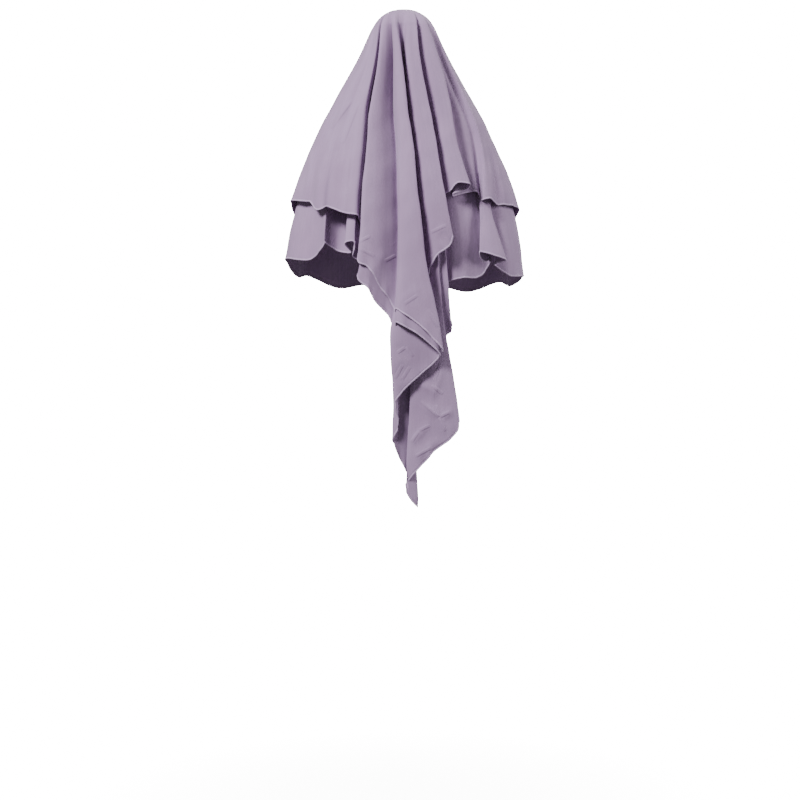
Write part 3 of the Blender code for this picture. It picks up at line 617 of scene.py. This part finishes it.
# One tier: two faces joined along the hem and along the edge of the face opening
def addTier(tier, places):
    middle = creased(tier, middleSurface(tier, places), places)
    near, far = wallFaces(tier, middle)
    points = np.concatenate([near, far[:, ::-1]], axis=1)
    columns, rows = points.shape[:2]
    number = np.arange(columns * rows).reshape(columns, rows)
    faces = [gridSquares(number)]
    closed = np.linalg.norm(near[0] - near[-1], axis=-1) < mesh["merge"]
    for row in np.flatnonzero(~(closed[1:] & closed[:-1])):
        for edge in (number[0], number[-1]):
            faces.append([[edge[row], edge[row + 1], edge[-2 - row], edge[-1 - row]]])
    along, up = runLength(middle)[:, -1:], aboveHem(middle)
    cloth = np.stack([np.broadcast_to(along, up.shape), up], axis=-1)
    cloth = np.concatenate([cloth, cloth[:, ::-1]], axis=1)
    piece = addMesh(tier["name"], points, np.concatenate(faces), cloth)
    tier["hem"] = (near[:, -1] + far[:, -1]) / 2
    tier["hemDown"] = unit(middle[:, -1] - middle[:, -2])
    tier["middle"] = middle
    square = np.cross(np.diff(middle, axis=0)[:, :-1], np.diff(middle, axis=1)[:-1])
    tier["area"] = float(np.linalg.norm(square, axis=-1).sum())
    print(f"scene: {tier['name']} {tier['area']:.3f} m2, hem {along[-1, 0]:.2f} m,",
        f"longest drop {up.max():.2f} m, {len(piece.data.polygons)} faces")
    return piece


# A closed tube round a path that ends where it starts: an ellipse of the two half sizes
def addTube(name, path, first, second, sides):
    corner = np.arange(sides + 1) * 2 * math.pi / sides
    ring = path[:, None] + first[:, None] * np.cos(corner)[:, None] + (
        second[:, None] * np.sin(corner)[:, None])
    number = np.arange(ring[..., 0].size).reshape(ring.shape[:2])
    along = np.broadcast_to(runLength(path)[:, None], ring.shape[:2])
    around = np.broadcast_to(corner / (2 * math.pi), ring.shape[:2])
    return addMesh(name, ring, gridSquares(number), np.stack([along, around], axis=-1))


hems = {
    "depth": 0.0036,  # of the rolled edge, along the cloth
    "thickness": 0.0022,
    "raised": 0.3,  # how far its middle lies above the edge, as a share of its depth
    "sides": 10,
    "paleTo": 0.0022,  # the cloth is paler up to here above the edge, and fades up to there
    "paleEnd": 0.0042,
    "paleShare": 0.7,
}


# The way along a closed path at each of its points: from the point before to the next
def alongLoop(path):
    along = unit(np.gradient(path, axis=0))
    along[0] = along[-1] = unit(path[1] - path[-2])
    return along


# What is left of the vectors without their share of the others, at length 1
def squareTo(others, vectors):
    return unit(vectors - (vectors * others).sum(axis=-1, keepdims=True) * others)


# The rolled hem: the path is the tier's lower edge, moved up by a share of its depth
def addHem(tier, name):
    along = alongLoop(tier["hem"])
    down = squareTo(along, tier["hemDown"])
    across = np.cross(along, down)
    path = tier["hem"] - down * hems["depth"] * hems["raised"]
    return addTube(name, path, down * hems["depth"] / 2, across * hems["thickness"] / 2,
        hems["sides"])


binding = {
    "width": 0.0066,
    "depth": 0.0052,
    "inward": 0.0022,  # how far its middle lies inside the tiers' edge
    "sides": 14,
}


# The band round the face opening: an ellipse carried along the edge that the tiers share
def addBinding(name):
    rows = slice(mesh["crownRows"], mesh["crownRows"] + mesh["faceRows"] + 1)
    middle = lowerCloth["middle"]
    path = np.concatenate([middle[0, rows], middle[-1, rows][-2::-1]])
    along = alongLoop(path)
    inward = squareTo(along, path[:-1].mean(axis=0) - path)
    across = np.cross(along, inward)
    path = path + inward * binding["inward"]
    return addTube(name, path, inward * binding["width"] / 2, across * binding["depth"] / 2,
        binding["sides"])


columns = columnPlaces()
print("scene:", len(columns), "columns")
upperPiece = addTier(upperCloth, columns)
lowerPiece = addTier(lowerCloth, columns)
upperHem = addHem(upperCloth, "upper_hem")
lowerHem = addHem(lowerCloth, "lower_hem")
bindingPiece = addBinding("binding_band")
print("scene: cloth and hems made")


# A number that changes over a surface. Sums, products and powers of it add Math nodes.
class Value:
    def __init__(self, recipe, socket):
        self.recipe, self.socket = recipe, socket

    def __add__(self, other):
        return self.recipe.math("ADD", self, other)

    def __sub__(self, other):
        return self.recipe.math("SUBTRACT", self, other)

    def __rsub__(self, other):
        return self.recipe.math("SUBTRACT", other, self)

    def __mul__(self, other):
        return self.recipe.math("MULTIPLY", self, other)

    def __truediv__(self, other):
        return self.recipe.math("DIVIDE", self, other)

    def __pow__(self, other):
        return self.recipe.math("POWER", self, other)

    __radd__ = __add__
    __rmul__ = __mul__


# A material under construction
class Recipe:
    def __init__(self, name):
        self.material = bpy.data.materials.new(name)
        self.material.use_nodes = True
        self.tree = self.material.node_tree
        self.tree.nodes.clear()
        self.output = self.node("OutputMaterial")

    # One node: its type, then its settings, then the values or links of its sockets
    def node(self, kind, settings=None, sockets=None):
        made = self.tree.nodes.new("ShaderNode" + kind)
        for setting, value in (settings or {}).items():
            setattr(made, setting, value)
        for socket, value in (sockets or {}).items():
            self.feed(made.inputs[socket], value)
        return made

    def feed(self, socket, value):
        value = value.socket if isinstance(value, Value) else value
        if isinstance(value, bpy.types.NodeSocket):
            self.tree.links.new(value, socket)
        else:
            socket.default_value = value

    def value(self, socket):
        return Value(self, socket)

    def math(self, operation, *values, **settings):
        made = self.node("Math", {"operation": operation, **settings}, dict(enumerate(values)))
        return Value(self, made.outputs[0])

    # From 0 at low to 1 at high, with soft ends
    def ramp(self, value, low, high):
        sockets = {"Value": value, "From Min": low, "From Max": high}
        made = self.node("MapRange", {"interpolation_type": "SMOOTHSTEP"}, sockets)
        return self.value(made.outputs[0])

    # A noise of a stretched place
    def noise(self, vector, stretch, scale, detail, roughness):
        place = self.node("Mapping", None, {"Vector": vector, "Scale": stretch}).outputs[0]
        sockets = {"Vector": place, "Scale": scale, "Detail": detail, "Roughness": roughness}
        return self.value(self.node("TexNoise", None, sockets).outputs[0])

    def blend(self, factor, first, second):
        made = self.node("Mix", {"data_type": "RGBA"}, {0: factor, 6: first, 7: second})
        return made.outputs[2]


chiffon = {
    "colour": (0.375, 0.258, 0.42, 1),
    "pale": (0.41, 0.30, 0.46, 1),
    "deep": (0.33, 0.222, 0.37, 1),
    "mottle": (0.5, 0.3, 0.2),  # shares of the wide, soft and streak noises in the colour
    "deepBelow": 0.38,  # the mottle at which the cloth is deep, and at which it is not
    "fullAbove": 0.62,
    "roughness": 0.86,
    "roughnessRange": 0.12,
    "sheen": 0.25,
    "sheenRoughness": 0.45,
    "specular": 0.25,
    "translucency": 0.22,
    "bump": 0.5,
    "thread": 0.00042,  # pitch of the weave
    "weave": 0.00002,  # how far the weave stands out
    "rumple": 0.0016,  # the same for the soft unevenness
    "crinkle": 0.00030,
    "pressed": 0.0003,  # sparse fine creases, where a noise is near its middle
    "pressedWidth": 0.016,
    "pressedFrom": 0.48,  # they come in between these values of another noise
    "pressedTo": 0.62,
    "creaseWidth": 0.0045,
    "crease": 0.0018,
    "creaseBack": -0.03,  # the fine creases come in from the middle plane back to here
}

# The noises of the cloth: how each is stretched, its scale, its detail and its roughness
grain = {
    "crinkle": ((1, 1, 1), 620, 3.0, 0.6),
    "soft": ((1, 1, 0.45), 34, 3.0, 0.55),
    "wide": ((1, 1, 0.5), 9, 2.0, 0.5),
    "streak": ((160, 3, 1), 1, 2.0, 0.6),
    "lines": ((1, 1, 0.7), 19, 1.5, 0.4),
    "areas": ((1, 1, 1), 8, 1.0, 0.5),
    "thread": ((1, 1, 1), 240, 2.0, 0.5),
}


# Fine pressed creases of the back, each from one place to another (metres across and below
# the crown)
fineCreases = (
    ((0.036, 0.852), (0.074, 0.886)), ((0.074, 0.886), (0.098, 0.874)),
    ((0.074, 0.886), (0.068, 0.860)), ((0.074, 0.886), (0.088, 0.916)),
    ((0.016, 0.938), (0.032, 0.914)), ((0.032, 0.914), (0.056, 0.902)),
    ((0.024, 0.968), (0.060, 0.948)), ((0.058, 0.818), (0.082, 0.838)),
    ((0.078, 0.770), (0.064, 0.812)), ((-0.018, 0.806), (-0.002, 0.776)),
    ((-0.004, 0.808), (0.014, 0.780)), ((-0.014, 0.752), (0.004, 0.740)),
    ((0.004, 0.740), (0.020, 0.760)), ((-0.092, 0.534), (-0.060, 0.550)),
    ((-0.094, 0.520), (-0.070, 0.508)), ((-0.040, 0.560), (-0.016, 0.546)),
    ((0.000, 0.652), (0.030, 0.632)), ((0.050, 0.662), (0.070, 0.700)),
    ((-0.108, 0.205), (-0.155, 0.266)), ((-0.096, 0.214), (-0.130, 0.304)),
    ((-0.152, 0.236), (-0.188, 0.300)), ((0.056, 0.500), (0.090, 0.484)),
)


# How high the fine creases stand at a place on the back. The distance from a crease is that
# from its nearest point, and the height falls smoothly from 1 there to 0 at its width.
def creaseHeight(recipe, place):
    parts = recipe.node("SeparateXYZ", None, {0: place})
    across, back, up = [recipe.value(part) for part in parts.outputs]
    reach, total = chiffon["creaseWidth"] ** 2, 0
    for start, end in fineCreases:
        run, fall = end[0] - start[0], end[1] - start[1]
        side, down = across - start[0], -1 * up - start[1]
        length = run**2 + fall**2
        share = recipe.math("ADD", (side * run + down * fall) / length, 0, use_clamp=True)
        apart = (side - share * run) ** 2 + (down - share * fall) ** 2
        soft = 1 - (2 * share - 1) ** 4
        total = total + (1 - recipe.ramp(apart, 0.0, reach)) * soft
    return total * recipe.ramp(back, 0.0, chiffon["creaseBack"])


# Matt crepe chiffon. The weave is the product of two sine waves along and up the cloth, the
# colour goes by the sum of three noises, and the hem is a little paler where the cloth lies
# double. The height is the sum of the weave, the rumples and the creases.
def chiffonMaterial(name):
    recipe = Recipe(name)
    place = recipe.node("TexCoord").outputs["Object"]
    cloth = recipe.node("UVMap", {"uv_map": "cloth"}).outputs[0]
    parts = recipe.node("SeparateXYZ", None, {0: cloth})
    along, up = recipe.value(parts.outputs[0]), recipe.value(parts.outputs[1])
    wave = 2 * math.pi / chiffon["thread"]
    weave = recipe.math("SINE", along * wave) * recipe.math("SINE", up * wave)
    crinkle, soft, wide, lines, areas = [recipe.noise(place, *grain[key])
        for key in ("crinkle", "soft", "wide", "lines", "areas")]
    streak = recipe.noise(cloth, *grain["streak"])
    wideShare, softShare, streakShare = chiffon["mottle"]
    mottle = wide * wideShare + soft * softShare + streak * streakShare
    shade = recipe.ramp(mottle, chiffon["deepBelow"], chiffon["fullAbove"])
    colour = recipe.blend(shade, chiffon["deep"], chiffon["colour"])
    double = 1 - recipe.ramp(up, hems["paleTo"], hems["paleEnd"])
    colour = recipe.blend(double * hems["paleShare"], colour, chiffon["pale"])
    middle = recipe.math("ABSOLUTE", lines - 0.5)
    pressed = 1 - recipe.ramp(middle, 0.0, chiffon["pressedWidth"])
    sparse = recipe.ramp(areas, chiffon["pressedFrom"], chiffon["pressedTo"])
    height = soft * chiffon["rumple"] + crinkle * chiffon["crinkle"] + weave * chiffon["weave"]
    height = height + pressed * sparse * chiffon["pressed"]
    height = height + creaseHeight(recipe, place) * chiffon["crease"]
    bump = recipe.node("Bump", None, {
        "Strength": chiffon["bump"], "Distance": 1.0, "Height": height})
    rough = chiffon["roughness"] + (crinkle - 0.5) * chiffon["roughnessRange"]
    surface = recipe.node("BsdfPrincipled", None, {
        "Base Color": colour,
        "Roughness": rough,
        "Normal": bump.outputs[0],
        "Sheen Weight": chiffon["sheen"],
        "Sheen Roughness": chiffon["sheenRoughness"],
        "Specular IOR Level": chiffon["specular"],
    })
    through = recipe.node("BsdfTranslucent", None, {"Color": colour, "Normal": bump.outputs[0]})
    mixed = recipe.node("MixShader", None, {
        0: chiffon["translucency"], 1: surface.outputs[0], 2: through.outputs[0]})
    recipe.feed(recipe.output.inputs["Surface"], mixed.outputs[0])
    return recipe.material


hemThread = {
    "pitch": 0.0011,
    "stands": 0.00012,  # how far the thread stands out
    "uneven": 0.0006,
    "colourShare": 0.25,  # how far the winding takes the colour to either side of half way
    "bump": 0.6,
    "roughness": 0.8,
    "roughnessRange": 0.1,
    "specular": 0.3,
}


# The rolled edge: thread wound slantwise round it, a little paler than the cloth. The
# winding is a sine of the way along and the way round.
def hemMaterial(name):
    recipe = Recipe(name)
    place = recipe.node("TexCoord").outputs["Object"]
    cloth = recipe.node("UVMap", {"uv_map": "cloth"}).outputs[0]
    parts = recipe.node("SeparateXYZ", None, {0: cloth})
    along, around = recipe.value(parts.outputs[0]), recipe.value(parts.outputs[1])
    turn = 2 * math.pi
    wound = recipe.math("SINE", along * (turn / hemThread["pitch"]) + around * turn)
    uneven = recipe.noise(place, *grain["thread"])
    share = wound * hemThread["colourShare"] + 0.5
    colour = recipe.blend(share, chiffon["colour"], chiffon["pale"])
    height = wound * hemThread["stands"] + uneven * hemThread["uneven"]
    bump = recipe.node("Bump", None, {
        "Strength": hemThread["bump"], "Distance": 1.0, "Height": height})
    rough = hemThread["roughness"] + (uneven - 0.5) * hemThread["roughnessRange"]
    surface = recipe.node("BsdfPrincipled", None, {
        "Base Color": colour,
        "Roughness": rough,
        "Normal": bump.outputs[0],
        "Sheen Weight": chiffon["sheen"],
        "Specular IOR Level": hemThread["specular"],
    })
    recipe.feed(recipe.output.inputs["Surface"], surface.outputs[0])
    return recipe.material


clothFinish = chiffonMaterial("lilac_chiffon")
hemFinish = hemMaterial("rolled_hem")
bindingFinish = hemMaterial("face_binding_finish")
for piece, finish in ((upperPiece, clothFinish), (lowerPiece, clothFinish),
        (upperHem, hemFinish), (lowerHem, hemFinish), (bindingPiece, bindingFinish)):
    piece.data.materials.append(finish)
    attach(piece, "root")
for name, finish in (("upper_tier", clothFinish), ("lower_tier", clothFinish),
        ("face_binding", bindingFinish)):
    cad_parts[name].data.materials.clear()
    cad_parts[name].data.materials.append(finish)
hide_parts("upper_tier")
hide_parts("lower_tier")
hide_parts("face_binding")
print("scene: materials made")

stage = {
    "floor": -1.74,
    "size": 3.0,
    "near": 0.1,  # the floor fades into the white studio between these distances
    "far": 1.5,
    "pale": (0.86, 0.86, 0.86, 1),
    "fill": 0.22,  # light from all round
    "strength": 0.45,  # how much of the floor shows at its middle
    "white": 22.0,  # the studio's white behind the object
    "roughness": 0.9,
    "specular": 0.1,
}

# The lamps: name, place, the point that it looks at, watts and size
lamps = (
    ("key", (-2.6, -3.0, 2.6), (0, 0, -0.7), 550, 1.2),
    ("side", (2.6, -0.4, 0.4), (0, 0, -0.4), 80, 1.2),
    ("front", (1.4, 3.2, 1.0), (0, 0, -0.4), 90, 1.6),
)


# The floor is a square that fades out all round, in a studio that is white behind the
# object and gives a softer light from everywhere.
def addStage():
    half = stage["size"]
    data = bpy.data.meshes.new("floor")
    data.from_pydata([(x * half, y * half, stage["floor"]) for x, y in
        ((-1, -1), (1, -1), (1, 1), (-1, 1))], [], [(0, 1, 2, 3)])
    floor = bpy.data.objects.new("floor", data)
    bpy.context.scene.collection.objects.link(floor)
    recipe = Recipe("floor_paint")
    place = recipe.node("TexCoord").outputs["Object"]
    flat = recipe.node("VectorMath", {"operation": "MULTIPLY"}, {0: place, 1: (1, 1, 0)})
    reach = recipe.node("VectorMath", {"operation": "LENGTH"}, {0: flat.outputs[0]})
    faded = recipe.ramp(recipe.value(reach.outputs["Value"]), stage["near"], stage["far"])
    surface = recipe.node("BsdfPrincipled", None, {
        "Base Color": stage["pale"],
        "Roughness": stage["roughness"],
        "Specular IOR Level": stage["specular"],
        "Alpha": (1 - faded) * stage["strength"],
    })
    recipe.feed(recipe.output.inputs["Surface"], surface.outputs[0])
    data.materials.append(recipe.material)
    world = bpy.data.worlds.new("studio")
    world.use_nodes = True
    nodes, links = world.node_tree.nodes, world.node_tree.links
    seen, mixed = nodes.new("ShaderNodeBackground"), nodes.new("ShaderNodeMixShader")
    path, fill = nodes.new("ShaderNodeLightPath"), nodes["Background"]
    seen.inputs["Strength"].default_value = stage["white"]
    fill.inputs["Strength"].default_value = stage["fill"]
    for background in (seen, fill):
        background.inputs["Color"].default_value = (1, 1, 1, 1)
    links.new(path.outputs["Is Camera Ray"], mixed.inputs[0])
    links.new(fill.outputs[0], mixed.inputs[1])
    links.new(seen.outputs[0], mixed.inputs[2])
    links.new(mixed.outputs[0], nodes["World Output"].inputs[0])
    bpy.context.scene.world = world


# An area lamp that looks at a point of the drape
def addLamp(name, place, target, energy, size):
    data = bpy.data.lights.new(name, "AREA")
    data.energy, data.size = energy, size
    lamp = bpy.data.objects.new(name, data)
    lamp.location = place
    toward = Vector(target) - Vector(place)
    lamp.rotation_euler = toward.to_track_quat("-Z", "Y").to_euler()
    bpy.context.scene.collection.objects.link(lamp)


view = {
    "place": (-0.0077, -3.2, -0.850),
    "lens": 65.45,
    "sensor": 36,
}


# A level camera behind the drape
def addCamera():
    data = bpy.data.cameras.new("camera")
    data.lens, data.sensor_width = view["lens"], view["sensor"]
    camera = bpy.data.objects.new("camera", data)
    camera.location = view["place"]
    camera.rotation_euler = (math.pi / 2, 0, 0)
    bpy.context.scene.collection.objects.link(camera)
    bpy.context.scene.camera = camera


addStage()
for lamp in lamps:
    addLamp(*lamp)
addCamera()
print("scene: studio made")
